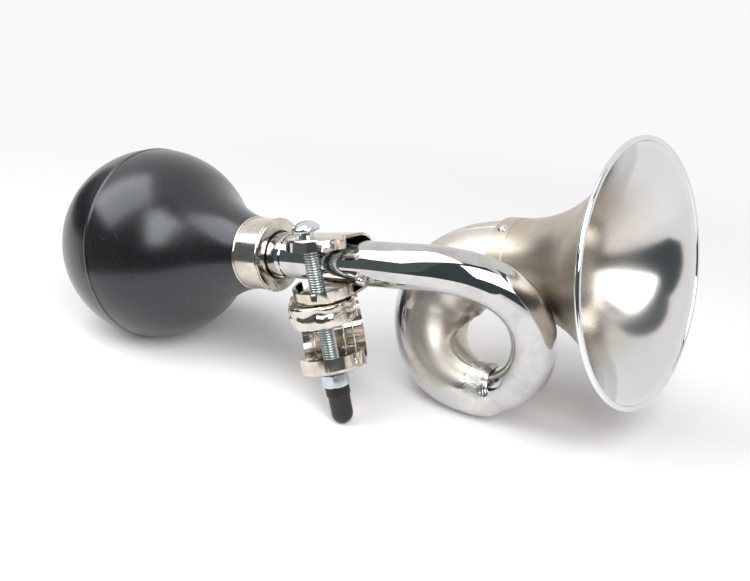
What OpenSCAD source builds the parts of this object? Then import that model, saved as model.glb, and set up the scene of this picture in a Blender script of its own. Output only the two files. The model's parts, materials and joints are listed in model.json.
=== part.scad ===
// Bicycle horn: a rubber squeeze bulb, a reed, a looped steel tube, a flared bell,
// and a two-strap clamp on one screw that holds the horn on a handlebar.
// Every piece is drawn with the tube along X and the bulb's centre at the origin,
// and is then set down the way the horn rests on a table: on bulb, loop and screw cap.

/* [Bulb] */
// Outer radius of the ball
bulb_r = 33; // [30:0.5:35]
// Thickness of the rubber
bulb_wall = 3; // [2:0.25:4]
// Radius of the hollow curve between ball and neck
shoulder_r = 50; // [40:1:60]
// Radius at which that curve would meet the neck
shoulder_foot_r = 10.6; // [9.8:0.1:11]

/* [Ferrule] */
// Distance from the ball's centre to the ferrule's rear edge
ferrule_x = 45.3; // [44.5:0.1:46]
// Length of the ferrule
ferrule_len = 10.7; // [10:0.1:12]
// Outer radius of the ferrule
ferrule_r = 11.6; // [11:0.1:12.5]
// Sheet thickness of the ferrule
ferrule_wall = 0.65; // [0.5:0.05:0.8]
// Radius of the hole in its front face
ferrule_hole_r = 8; // [7.8:0.1:8.6]
// Radius of the rolled bead at both edges
ferrule_bead_r = 0.45; // [0.3:0.05:0.5]

/* [Reed] */
// Radius of the bore through the reed holder
reed_bore_r = 3.6; // [3.3:0.1:3.9]
// Length of the reed block's trough
reed_len = 25; // [20:1:28]
// Wall of the trough
reed_wall = 0.7; // [0.5:0.1:0.9]
// Width of the tongue
tongue_w = 5.2; // [4.4:0.1:5.4]
// Thickness of the tongue
tongue_t = 0.25; // [0.2:0.05:0.3]
// Angle at which the tongue stands open
tongue_open = 2; // [1.6:0.1:2.5]

/* [Tube] */
// Outer radius of the straight tube
tube_r = 7; // [6.6:0.1:7.3]
// Wall of the tube
tube_wall = 0.7; // [0.5:0.05:0.9]
// Distance from the ball's centre to the tube's end in the ferrule
tube_x = 47.5; // [47:0.1:49]
// Thickness of the sleeve soldered round that end
sleeve_wall = 0.42; // [0.3:0.02:0.5]
// How far the sleeve stands out of the ferrule
sleeve_out = 5; // [3:0.5:6]
// Distance along the tube to the stop stud
stud_x = 92; // [91.5:0.1:94]
// Angle of the stop stud round the tube, from the near side downwards
stud_turn = 35; // [20:1:60]

/* [Loop] */
// Distance along the tube to the start of its bend
bend_x = 93.9; // [93.8:0.1:95]
// Furthest reach of the bent tube, along the horn
tube_side_x = 135.7; // [135:0.1:137]
// Sideways travel of the tube at that place
tube_side_out = 13.1; // [12:0.1:14]
// Drop of the tube at that place
tube_side_down = 12.3; // [12:0.1:14]
// Lowest point of the loop along the horn, where the tube is brazed to the wide part
low_x = 115.7; // [114:0.1:117]
// Sideways travel of the loop at its lowest point
low_out = 25.5; // [24:0.1:27]
// Drop of the loop at its lowest point
low_down = 45.3; // [45:0.1:47]
// Nearest reach of the wide part towards the bulb
horn_side_x = 91.3; // [90:0.1:92]
// Drop of the wide part at that place
horn_side_down = 24.5; // [24:0.1:26]
// Distance along the tube to the wide part's end in the bell
socket_x = 117.3; // [116.5:0.1:118]
// Distance from the tube's axis sideways to that end
socket_out = 40.2; // [40:0.1:42]
// Drop of that end below the tube's axis
socket_down = 7.3; // [6:0.1:8]
// Roundness of the tube's bend
tube_round = 1.12; // [1.05:0.01:1.2]
// Roundness of the wide part's bend
horn_round = 1.28; // [1.2:0.01:1.35]
// Outer radius of the wide part at the braze
horn_r_braze = 8.6; // [8.4:0.1:9.4]
// Outer radius of the wide part at the side of the loop
horn_r_side = 12.8; // [12:0.1:13.2]
// Outer radius of the wide part at its end in the bell
horn_r_end = 14; // [13.6:0.1:14.2]
// Sheet thickness of the two pressed halves
horn_wall = 0.8; // [0.6:0.05:1]
// Width of the seam flange in the loop's eye
seam_flange = 2.2; // [1.5:0.1:2.3]
// Lean of the seam towards the near side
seam_lean = 20; // [0:1:25]

/* [Bell] */
// Outer radius of the bell's mouth
bell_r = 40.85; // [38:0.05:43]
// Length of the bell with its socket
bell_len = 46; // [44:0.5:50]
// Sheet thickness of the bell
bell_wall = 0.7; // [0.5:0.05:0.9]
// Power of the flare's curve
bell_flare = 2.7; // [2.3:0.05:3.2]
// Turn of the bell's axis towards the near side
bell_yaw = 2.9; // [0:0.1:5]
// Rise of the bell's axis
bell_rise = 1.4; // [0:0.1:4]
// Length of the socket over the wide part's end
socket_len = 5.8; // [5:0.1:7]
// Radius of the bead rolled round the mouth
rim_bead_r = 0.9; // [0.6:0.05:1.2]
// Radius of a rivet head on the socket
rivet_r = 1.7; // [1.3:0.1:2]

/* [Clamp] */
// Distance along the tube to the clamp screw
clamp_x = 78.4; // [77.5:0.1:79]
// Distance from the tube's axis to the screw's axis
clamp_reach = 11; // [10.8:0.1:11.8]
// Turn of the clamp round the tube
clamp_turn = 2.8; // [-5:0.1:5]
// Lean of the screw along the tube
clamp_skew = 6; // [4:0.5:7]
// Width of both straps
strap_w = 20.5; // [18:0.5:21]
// Sheet thickness of both straps
strap_t = 0.8; // [0.6:0.05:1]
// Inside radius of the tube strap, which sits askew on the tube
tube_strap_r = 7.8; // [7.8:0.1:8.2]
// Lean of the tube strap along the tube
strap_skew = 4; // [3:0.5:4]
// Spread of the tube strap's upper ear
ear_rise = 7.5; // [6:0.5:9]
// Spread of the tube strap's lower ear
ear_drop = 4.7; // [4:0.1:6]
// Depth of the tube strap's turned lips
tube_lip = 3.9; // [3:0.1:4.2]
// Radius of the handlebar that the lower strap holds
bar_r = 11.1; // [10.6:0.1:11.4]
// Depth of the lip on the handlebar strap's upper ear
bar_lip = 6.6; // [5:0.1:7]
// Depth of the lip on the handlebar strap's lower ear
bar_low_lip = 5; // [4:0.1:5.5]
// How far the nut has drawn the handlebar strap's lower ear up
ear_squeeze = 6; // [4:0.5:7]
// Gap between the screw and the handlebar
bar_gap = 0.6; // [0.4:0.1:1]
// Turn of the handlebar strap round the screw
bar_turn = 36; // [25:1:45]
// Bend radius between a strap's ear and its lip
ear_bend = 1.2; // [1:0.1:2]
// How far the ear's rounded end is centred behind the screw
ear_set = 3.5; // [3:0.1:4]

/* [Screw] */
// Radius of the screw
screw_r = 2.5; // [2:0.1:2.6]
// Radial play of the screw in the straps' holes
hole_play = 0.08; // [0.02:0.01:0.09]
// Gap between the screw head and the upper ear
head_gap = 2; // [1.5:0.1:3.5]
// Radius of the screw's pan head
head_r = 4.4; // [4:0.1:4.8]
// Height of the pan head
head_h = 3.1; // [2.6:0.1:3.5]
// Width of the driver slot
slot_w = 1.1; // [0.8:0.1:1.4]
// Width of the nut across its flats
nut_af = 8; // [7.8:0.1:8.5]
// Height of the nut
nut_h = 4; // [4:0.1:5]
// Radius of the cap's ribbed collar
cap_r = 3.8; // [3.8:0.1:4.6]
// Radius of the cap's tip
cap_tip_r = 3.4; // [3.2:0.1:3.4]
// Length of the cap
cap_len = 12.5; // [10:0.1:13]
// Length of the cap's collar
collar_len = 3; // [3:0.1:4.5]

/* [Hidden] */

rubber = "#2b2b2d";
nickel = "#cdc6ba";
chrome = "#d9dbde";
zinc = "#c6d0d4";
brass = "#c8a24c";
solder = "#b9b2a4";
black_plastic = "#2f3032";

// Clearances between pieces that are fixed to each other, that turn, and that pass
seat = 0.04;
turning = 0.06;
face_gap = 0.1;

// Bulb and ferrule
shoulder_x = sqrt(pow(bulb_r + shoulder_r, 2) - pow(shoulder_foot_r + shoulder_r, 2));
shoulder_y = shoulder_foot_r + shoulder_r;
shoulder_touch = atan2(shoulder_y, shoulder_x);
neck_out_r = ferrule_r - ferrule_wall - seat;
sleeve_r = tube_r + seat + sleeve_wall;
neck_in_r = sleeve_r + turning;
ferrule_end = ferrule_x + ferrule_len;
neck_end = ferrule_end - ferrule_wall - seat;
sleeve_end = ferrule_end + sleeve_out;

// Reed: the holder's flange closes the tube's end
reed_flange = 1;
reed_face = tube_x - reed_flange;
reed_plug = 8;
reed_inset = 6;
tongue_lift = 0.45;
tongue_play = 0.3;

// Clamp
bar_strap_r = bar_r + strap_t;
tube_strap_out = tube_strap_r + strap_t;
ear_reach = clamp_reach - ear_set + strap_w / 2;
tube_strap_top = (tube_strap_out + clamp_reach * sin(ear_rise)) / cos(ear_rise);
tube_strap_low = (tube_strap_out + ear_reach * sin(ear_drop)) / cos(ear_drop);
bar_mid = -tube_strap_low - face_gap - bar_strap_r;
bar_back = screw_r + bar_gap + bar_r;
nut_behind = bar_back - nut_af / 2 / cos(30);
nut_top = bar_mid - (bar_strap_r - nut_behind * sin(ear_squeeze)) / cos(ear_squeeze) - face_gap;
cap_top = nut_top - nut_h - face_gap;
cap_end = cap_top - cap_len;
screw_end = cap_end + cap_tip_r + 0.6;
head_base = tube_strap_top + head_gap;
point_cut = 0.5;

function unit(v) = v / norm(v);
function turned_x(v, a) = [v.x, v.y * cos(a) - v.z * sin(a), v.y * sin(a) + v.z * cos(a)];
function turned_y(v, a) = [v.x * cos(a) + v.z * sin(a), v.y, -v.x * sin(a) + v.z * cos(a)];
function turned_z(v, a) = [v.x * cos(a) - v.y * sin(a), v.x * sin(a) + v.y * cos(a), v.z];

// A smooth curve between two points with given directions
function joined(p, p_way, q, q_way, round, u) =
    let (reach = norm(q - p) * round)
    p * (2 * pow(u, 3) - 3 * pow(u, 2) + 1) + q * (3 * pow(u, 2) - 2 * pow(u, 3))
    + p_way * reach * (pow(u, 3) - 2 * pow(u, 2) + u) + q_way * reach * (pow(u, 3) - pow(u, 2));

// The bell's axis, and the point where the wide part enters its socket
bell_way = turned_z(turned_y([1, 0, 0], -bell_rise), -bell_yaw);
socket = [socket_x, socket_out, -socket_down];
mouth = socket + bell_way * bell_len;

// Centreline of the bent tube: out to its side point, then back to the low point and a little
// way into the wide part
bend_start = [bend_x, 0, 0];
tube_side = [tube_side_x, tube_side_out, -tube_side_down];
low = [low_x, low_out, -low_down];
back_way = [-1, 0, 0];
tube_way_side = unit(low - bend_start);
tube_steps = 12;
tube_past_braze = 1.5;
tube_line = concat(
    [for (i = [0:tube_steps - 1])
        joined(bend_start, [1, 0, 0], tube_side, tube_way_side, tube_round, i / tube_steps)],
    [for (i = [0:tube_steps])
        joined(tube_side, tube_way_side, low, back_way, tube_round, i / tube_steps)],
    [low + back_way * tube_past_braze]);

// Centreline of the wide part: from the low point round its side point, in one leaning plane,
// then along the bell's axis into the socket
rise = socket - low;
horn_side_share = (low_down - horn_side_down) / rise.z;
horn_side = [horn_side_x, low_out + rise.y * horn_side_share, -horn_side_down];
horn_way_side = unit(rise);
horn_steps = 12;
horn_line = concat(
    [for (i = [0:horn_steps - 1])
        joined(low, back_way, horn_side, horn_way_side, horn_round, i / horn_steps)],
    [for (i = [0:horn_steps])
        joined(horn_side, horn_way_side, socket, bell_way, horn_round, i / horn_steps)],
    [socket + bell_way * (socket_len - seat)]);

// Outer radius of the wide part at each point of its centreline
horn_count = len(horn_line);
function horn_r(i) = lookup(i / horn_steps,
    [[0, horn_r_braze], [1, horn_r_side], [2, horn_r_end], [3, horn_r_end]]);
function flange_at(i) = max(0.05, seam_flange * sin(90 * min(1, i / 4)) * sin(90 * min(1, max(0, 22 - i) / 6)));

// Direction of a line of points at one of them
function way_at(line, i) =
    unit(line[min(i + 1, len(line) - 1)] - line[max(i - 1, 0)]);
function tube_way(i) =
    i == 0 ? [1, 0, 0] : i >= len(tube_line) - 2 ? back_way : way_at(tube_line, i);
function horn_way(i) =
    i == 0 ? back_way : i >= horn_count - 2 ? bell_way : way_at(horn_line, i);
// Across the line, square to the seam, and outwards from the loop's eye
seam_square = turned_x([0, 1, 0], seam_lean);
function across(way) = unit(seam_square - way * (way * seam_square));
function outward(way) = cross(way, across(way));
function round_point(c, way, r, a) = c + across(way) * r * cos(a) + outward(way) * r * sin(a);

// Closed surface of the bent tube from rings of outer and inner points.
// Each ring keeps inside the straight tube's round wall, so that its end lies flat on it.
module bent_tube() {
    sides = 24;
    hair = 0.03;
    outer_r = tube_r - hair;
    inner_r = (tube_r - tube_wall + hair) / cos(180 / sides);
    n = len(tube_line);
    rings = [for (i = [0:n - 1]) each concat(
        [for (k = [0:sides - 1]) round_point(tube_line[i], tube_way(i), outer_r, 360 * k / sides)],
        [for (k = [0:sides - 1]) round_point(tube_line[i], tube_way(i), inner_r, 360 * k / sides)])];
    ring = 2 * sides;
    faces = concat(
        [for (i = [0:n - 2], k = [0:sides - 1]) each
            let (a = i * ring + k, b = i * ring + (k + 1) % sides)
            [[a, b + ring, b], [a, a + ring, b + ring],
             [b + sides, b + sides + ring, a + sides],
             [a + sides, b + sides + ring, a + sides + ring]]],
        [for (k = [0:sides - 1]) each
            let (a = k, b = (k + 1) % sides, z = (n - 1) * ring)
            [[b, a + sides, a], [b, b + sides, a + sides],
             [z + a, z + a + sides, z + b], [z + b, z + a + sides, z + b + sides]]]);
    polyhedron(rings, faces, convexity = 8);
}

// Section of one pressed half, across the line and outwards, from the outer edge to the flange.
// The first half of the points is the outside, the second half comes back along the inside.
half_sides = 12;
function half_section(r, flange, side) =
    let (lip = asin(horn_wall / r))
    concat(
        [for (k = [0:half_sides]) let (a = 90 - (180 - lip) * k / half_sides)
            [side * r * cos(a), r * sin(a)]],
        [[side * horn_wall, -r - flange], [0, -r - flange]],
        [for (k = [half_sides:-1:0]) let (a = 90 - 180 * k / half_sides)
            [side * (r - horn_wall) * cos(a), (r - horn_wall) * sin(a)]]);

// Closed surface of one pressed half of the wide part
module pressed_half(side) {
    n = horn_count;
    sections = [for (i = [0:n - 1]) half_section(horn_r(i), flange_at(i), side)];
    m = len(sections[0]);
    points = [for (i = [0:n - 1]) each
        let (way = horn_way(i))
        [for (p = sections[i])
            horn_line[i] + across(way) * (p.x + side * seat / 2) + outward(way) * p.y]];
    walls = [for (i = [0:n - 2], k = [0:m - 1]) each
        let (a = i * m + k, b = i * m + (k + 1) % m)
        [[a, b + m, b], [a, a + m, b + m]]];
    ends = [for (k = [0:m / 2 - 2]) each
        let (a = k, b = k + 1, c = m - 2 - k, d = m - 1 - k, z = (n - 1) * m)
        [[a, b, c], [a, c, d], [z + a, z + c, z + b], [z + a, z + d, z + c]]];
    outward_faces = concat(walls, ends);
    polyhedron(points,
        side > 0 ? outward_faces : [for (f = outward_faces) [f[2], f[1], f[0]]],
        convexity = 8);
}

// How the horn lies on a table. Bulb, loop and cap are three balls that all touch it: the downward
// direction is the one in which all three reach equally far. Of the balls along the loop's low
// stretch, the one that tips the horn most is the one that touches.
function clamp_point(p) =
    [clamp_x, 0, 0] + turned_x([0, -clamp_reach, 0] + turned_y(p, -clamp_skew), clamp_turn);
cap_low = clamp_point([0, 0, cap_end + cap_tip_r]);
function down_on(ball, r) =
    let (axis = cross(ball, cap_low),
         foot = ((bulb_r - r) * cross(cap_low, axis) + (bulb_r - cap_tip_r) * cross(axis, ball))
             / (axis * axis),
         square = unit(axis) * sqrt(1 - foot * foot))
    foot + (square.z < 0 ? square : -square);
downs = [for (i = [0:horn_steps]) down_on(horn_line[i], horn_r(i))];
most_tipped = min([for (d = downs) d.x]);
down = [for (d = downs) if (d.x == most_tipped) d][0];
rest_lean = atan2(-down.y, -down.z);
rest_rise = atan2(down.x, norm([down.y, down.z]));

// Middle of the resting horn's floor outline: the ball at one end, the bell's mouth at the other
function rested(v) = turned_y(turned_x(v, rest_lean), rest_rise);
mouth_rested = rested(mouth);
mouth_way = rested(bell_way);
rim_ring = bell_r - rim_bead_r;
far_x = mouth_rested.x + rim_ring * sqrt(1 - pow(mouth_way.x, 2)) + rim_bead_r;
far_y = mouth_rested.y + rim_ring * sqrt(1 - pow(mouth_way.y, 2)) + rim_bead_r;

module resting() {
    translate([(bulb_r - far_x) / 2, (bulb_r - far_y) / 2, bulb_r])
        rotate([rest_lean, rest_rise, 0]) children();
}

// A profile of distance along the tube and radius, turned about the tube's axis
module turned(profile) {
    rotate([90, 0, 90]) rotate_extrude($fn = 96) polygon([for (p = profile) [p.y, p.x]]);
}

module on_tube(x, r, h) {
    translate([x, 0, 0]) rotate([0, 90, 0]) cylinder(r = r, h = h, $fn = 72);
}

module on_bell() {
    translate(socket) rotate([0, -bell_rise, -bell_yaw]) children();
}

module at_clamp(skew) {
    translate([clamp_x, 0, 0]) rotate([clamp_turn, 0, 0])
        translate([0, -clamp_reach, 0]) rotate([0, -skew, 0]) children();
}

module on_screw() {
    at_clamp(clamp_skew) children();
}

module on_strap() {
    at_clamp(strap_skew) children();
}

// Back half of the rubber ball, up to the moulding seam
module bulb_back() {
    steps = 24;
    outside = [for (i = [0:steps]) let (a = 180 - 90 * i / steps) [bulb_r * cos(a), bulb_r * sin(a)]];
    hollow = bulb_r - bulb_wall;
    inside = [for (i = [steps:-1:0]) let (a = 180 - 90 * i / steps) [hollow * cos(a), hollow * sin(a)]];
    color(rubber) resting() translate([-seat, 0, 0]) turned(concat(outside, inside));
}

// Front half of the ball, its shoulder, and the neck that the ferrule grips
module bulb_front() {
    steps = 12;
    touch = shoulder_touch;
    last = asin((shoulder_x - ferrule_x + seat) / shoulder_r);
    first = 90 - touch;
    ball = [for (i = [0:steps]) let (a = 90 - (90 - touch) * i / steps)
        [bulb_r * cos(a), bulb_r * sin(a)]];
    shoulder = [for (i = [1:steps]) let (a = first + (last - first) * i / steps)
        [shoulder_x - shoulder_r * sin(a), shoulder_y - shoulder_r * cos(a)]];
    hollow = bulb_r - bulb_wall;
    shoulder_in = shoulder_r + bulb_wall;
    ball_in = [for (i = [steps:-1:0]) let (a = 90 - (90 - touch) * i / steps)
        [hollow * cos(a), hollow * sin(a)]];
    last_in = asin((shoulder_x - ferrule_x + seat) / shoulder_in);
    shoulder_back = [for (i = [steps:-1:1]) let (a = first + (last_in - first) * i / steps)
        [shoulder_x - shoulder_in * sin(a), shoulder_y - shoulder_in * cos(a)]];
    neck = [[ferrule_x - seat, neck_out_r], [neck_end, neck_out_r], [neck_end, neck_in_r],
            [ferrule_x - seat, neck_in_r]];
    color(rubber) resting() turned(concat(ball, shoulder, neck, shoulder_back, ball_in));
}

// Pressed cup that grips the neck, with a rolled bead at both edges
module ferrule() {
    inner = ferrule_r - ferrule_wall;
    color(nickel) resting() union() {
        turned([[ferrule_x, ferrule_r], [ferrule_end - 0.3, ferrule_r], [ferrule_end, ferrule_r - 0.3],
                [ferrule_end, ferrule_hole_r], [ferrule_end - ferrule_wall, ferrule_hole_r],
                [ferrule_end - ferrule_wall, inner], [ferrule_x, inner]]);
        for (x = [ferrule_x + ferrule_bead_r, ferrule_end - 2 * ferrule_bead_r])
            translate([x, 0, 0]) rotate([0, 90, 0])
                rotate_extrude($fn = 96) translate([ferrule_r, 0]) circle(r = ferrule_bead_r, $fn = 24);
    }
}

// Sleeve soldered round the tube's end, on which the bulb's neck turns
module sleeve() {
    color(nickel) resting() difference() {
        on_tube(tube_x, sleeve_r, sleeve_end - tube_x);
        on_tube(tube_x - 1, tube_r + seat, sleeve_end - tube_x + 2);
    }
}

// Turned plug that closes the tube's end and holds the reed
module reed_holder() {
    color(brass) resting() difference() {
        union() {
            on_tube(reed_face, tube_r, reed_flange - seat);
            on_tube(reed_face, tube_r - tube_wall - seat, reed_flange + reed_plug);
        }
        on_tube(reed_face - 1, reed_bore_r, reed_flange + reed_plug + 2);
    }
}

// Half-round trough that the tongue beats against
module reed_block() {
    r = reed_bore_r - seat;
    start = reed_face + reed_inset - reed_len;
    color(brass) resting() difference() {
        on_tube(start, r, reed_len);
        on_tube(start + reed_wall, r - reed_wall, reed_len);
        translate([start - 1, -2 * r, 0]) cube([reed_len + 2, 4 * r, 2 * r]);
    }
}

// Thin brass strip that stands a little open over the trough
module reed_tongue() {
    back = reed_inset - 2;
    front = reed_len - reed_inset - 1;
    color(brass) resting() translate([reed_face, 0, tongue_lift]) rotate([0, tongue_open, 0])
        translate([-front, -tongue_w / 2, 0]) cube([front + back, tongue_w, tongue_t]);
}

// Half-round wedge that fills the bore above the tongue
module reed_wedge() {
    r = reed_bore_r - seat;
    low = tongue_lift + tongue_t + tongue_play;
    color(brass) resting() difference() {
        on_tube(reed_face + 0.2, r, reed_plug - 1);
        translate([reed_face - 1, -2 * r, low - 4 * r]) cube([reed_plug + 2, 4 * r, 4 * r]);
    }
}

// Steel tube: straight through the clamp, then bent down round the loop to the braze
module tube() {
    color(chrome) resting() union() {
        difference() {
            on_tube(tube_x, tube_r, bend_x - tube_x);
            on_tube(tube_x - 1, tube_r - tube_wall, bend_x - tube_x + 2);
        }
        bent_tube();
    }
}

// Fillet of braze between the tube and the wide part's open end
module braze_ring() {
    bore = tube_r + 0.35;
    color(solder) resting() translate(low) rotate([0, -90, 0]) rotate_extrude($fn = 72)
        polygon([[bore, -2.6], [bore + 0.5, -2.5], [bore + 1.3, -1.4], [horn_r_braze + 0.3, -1],
                 [horn_r_braze + 0.4, -0.5], [horn_r_braze + 0.1, -face_gap], [bore, -face_gap]]);
}

module loop_shell_near() {
    color(nickel) resting() pressed_half(-1);
}

module loop_shell_far() {
    color(nickel) resting() pressed_half(1);
}

// Outer radius of the bell at a distance from its socket
bell_throat_r = horn_r_end + seat + bell_wall + 0.1;
band_rise = 0.25;
function bell_r_at(x) = bell_throat_r + (bell_r - rim_bead_r - bell_throat_r) * pow(x / bell_len, bell_flare);
function bell_slope(x) =
    (bell_r - rim_bead_r - bell_throat_r) * bell_flare / bell_len * pow(x / bell_len, bell_flare - 1);

// Spun bell: a raised socket band, the flare, and a bead rolled round the mouth
module bell() {
    steps = 18;
    flare_len = bell_len - socket_len - rim_bead_r * 0.9;
    outside = [for (i = [0:steps]) let (x = socket_len + flare_len * i / steps) [x, bell_r_at(x)]];
    bead = [for (i = [0:10]) let (a = 215 - 290 * i / 10)
        [bell_len + rim_bead_r * cos(a), rim_ring + rim_bead_r * sin(a)]];
    inside = [for (i = [steps:-1:0]) let (x = socket_len + flare_len * i / steps, a = atan(bell_slope(x)))
        [x + bell_wall * sin(a), bell_r_at(x) - bell_wall * cos(a)]];
    color(nickel) resting() on_bell() turned(concat(
        [[0, bell_throat_r + band_rise], [socket_len, bell_throat_r + band_rise]],
        outside, bead, inside, [[0, bell_throat_r - bell_wall]]));
}

// Three rivets through the socket band
module bell_rivets() {
    outer = bell_throat_r + band_rise;
    color(nickel) resting() on_bell() for (turn = [28, 148, 268])
        rotate([turn, 0, 0]) translate([socket_len / 2, 0, outer])
            difference() {
                intersection() {
                    translate([0, 0, -1.4]) sphere(r = rivet_r * 1.3, $fn = 48);
                    translate([0, 0, -0.4]) cylinder(r = rivet_r, h = 2, $fn = 48);
                }
                translate([-10, 0, -outer]) rotate([0, 90, 0]) cylinder(r = outer + seat, h = 20, $fn = 96);
            }
}

// Domed stud that keeps the tube strap from sliding off towards the loop
module stop_stud() {
    color(chrome) resting() difference() {
        translate([stud_x, 0, 0]) rotate([stud_turn, 0, 0]) translate([0, -tube_r, 0]) intersection() {
            sphere(r = 1.7, $fn = 48);
            rotate([90, 0, 0]) translate([0, 0, -1]) cylinder(r = 1.6, h = 2.2, $fn = 48);
        }
        on_tube(stud_x - 5, tube_r + seat, 10);
    }
}

// How far an ear laps into the flat arm behind it
ear_lap = 0.4;

// One end of a strap: a half-round ear with its edge turned in as a lip, lip upwards
module ear_end(lip) {
    r = strap_w / 2;
    bend = ear_bend;
    inner = bend - strap_t;
    arc = [for (i = [0:6]) let (a = 270 + 90 * i / 6) [r - bend + bend * cos(a), bend + bend * sin(a)]];
    arc_in = [for (i = [6:-1:0]) let (a = 270 + 90 * i / 6)
        [r - bend + inner * cos(a), bend + inner * sin(a)]];
    translate([0, ear_set, 0]) difference() {
        rotate_extrude($fn = 96)
            polygon(concat([[0, 0]], arc, [[r, lip], [r - strap_t, lip]], arc_in, [[0, strap_t]]));
        translate([-strap_w, ear_lap, -1]) cube([2 * strap_w, strap_w, lip + 2]);
    }
}

// A place on a strap's arm, at a distance in front of where the arm leaves its bar
function arm_point(ahead, r, spread, side) =
    [r * sin(spread) - ahead * cos(spread), side * (r * cos(spread) + ahead * sin(spread))];

// Turns an ear about the bar behind it
module spread_ear(spread, outer, back, lip) {
    translate([0, back, 0]) rotate([spread, 0, 0]) translate([0, -back, -outer]) ear_end(lip);
}

// A strap bent round a bar behind the screw: its two ears, flat arms and round back
module bent_strap(half, back, upper_lip, lower_lip, rise, drop) {
    outer = half + strap_t;
    arm = back - ear_set;
    union() {
        translate([-strap_w / 2, back, 0]) rotate([90, 0, 90]) linear_extrude(strap_w) difference() {
            union() {
                circle(r = outer, $fn = 96);
                polygon([arm_point(0, outer, rise, 1), arm_point(arm, outer, rise, 1),
                         arm_point(arm, outer, drop, -1), arm_point(0, outer, drop, -1)]);
            }
            circle(r = half, $fn = 96);
            polygon([arm_point(0, half, rise, 1), arm_point(arm + outer, half, rise, 1),
                     arm_point(arm + outer, half, drop, -1), arm_point(0, half, drop, -1)]);
        }
        spread_ear(drop, outer, back, lower_lip);
        mirror([0, 0, 1]) spread_ear(rise, outer, back, upper_lip);
    }
}

// Clearance hole for the screw through both ears of a strap
module screw_hole(reach) {
    translate([0, 0, -reach]) cylinder(r = screw_r + hole_play, h = 2 * reach, $fn = 48);
}

// Upper strap: wraps the tube, a little askew on it
module tube_strap() {
    color(nickel) resting() difference() {
        on_strap() bent_strap(tube_strap_r, clamp_reach, tube_lip, tube_lip, ear_rise, ear_drop);
        on_screw() screw_hole(2 * tube_strap_out);
        on_tube(clamp_x - strap_w, tube_r + turning, 2 * strap_w);
    }
}

// Lower strap: wraps the handlebar
module handlebar_strap() {
    color(nickel) resting() on_screw() rotate([0, 0, bar_turn]) translate([0, 0, bar_mid]) difference() {
        bent_strap(bar_r, bar_back, bar_lip, bar_low_lip, 0, -ear_squeeze);
        screw_hole(2 * bar_strap_r);
    }
}

// Pan-head screw with a driver slot
module clamp_screw() {
    dome = (pow(head_r, 2) + pow(head_h, 2)) / (2 * head_h) + 1.2;
    color(zinc) resting() on_screw() difference() {
        union() {
            rotate_extrude($fn = 48) polygon([[0, screw_end], [screw_r - point_cut, screw_end],
                [screw_r, screw_end + point_cut], [screw_r, head_base + head_h / 3], [0, head_base + head_h / 3]]);
            translate([0, 0, head_base]) intersection() {
                cylinder(r = head_r, h = head_h, $fn = 64);
                translate([0, 0, head_h - dome]) sphere(r = dome, $fn = 96);
            }
        }
        rotate([0, 0, -25]) translate([-head_r * 2, -slot_w / 2, head_base + head_h - 1.3])
            cube([head_r * 4, slot_w, 3]);
    }
}

// Hexagon nut, chamfered at both faces
module clamp_nut() {
    across_corners = nut_af / cos(30);
    color(zinc) resting() on_screw() translate([0, 0, nut_top - nut_h]) difference() {
        intersection() {
            cylinder(d = across_corners, h = nut_h, $fn = 6);
            rotate_extrude($fn = 72) polygon([[0, 0], [nut_af / 2, 0], [across_corners / 2, 0.4],
                [across_corners / 2, nut_h - 0.4], [nut_af / 2, nut_h], [0, nut_h]]);
        }
        translate([0, 0, -1]) cylinder(r = screw_r + turning, h = nut_h + 2, $fn = 48);
    }
}

// Soft plastic cap over the screw's end, with a thicker collar and a round tip
module screw_cap() {
    neck = cap_r - 0.35;
    tip = [for (i = [0:8]) let (a = 90 * i / 8) [cap_tip_r * cos(a), cap_tip_r - cap_tip_r * sin(a)]];
    color(black_plastic) resting() on_screw() translate([0, 0, cap_end]) difference() {
        rotate_extrude($fn = 72) polygon(concat(
            [[0, cap_len], [cap_r - 0.3, cap_len], [cap_r, cap_len - 0.3], [cap_r, cap_len - collar_len],
             [neck, cap_len - collar_len - 0.4]], tip));
        translate([0, 0, screw_end - cap_end - 0.2]) cylinder(r = screw_r + turning, h = cap_len, $fn = 48);
    }
}

bulb_back();
bulb_front();
ferrule();
sleeve();
reed_holder();
reed_block();
reed_tongue();
reed_wedge();
tube();
braze_ring();
loop_shell_near();
loop_shell_far();
bell();
bell_rivets();
stop_stud();
tube_strap();
handlebar_strap();
clamp_screw();
clamp_nut();
screw_cap();
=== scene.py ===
# Bicycle horn: rubber bulb, looped tube, flared bell and a strap clamp, dressed around its frame
import json
import math

import bpy
from mathutils import Matrix, Vector, noise

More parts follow.
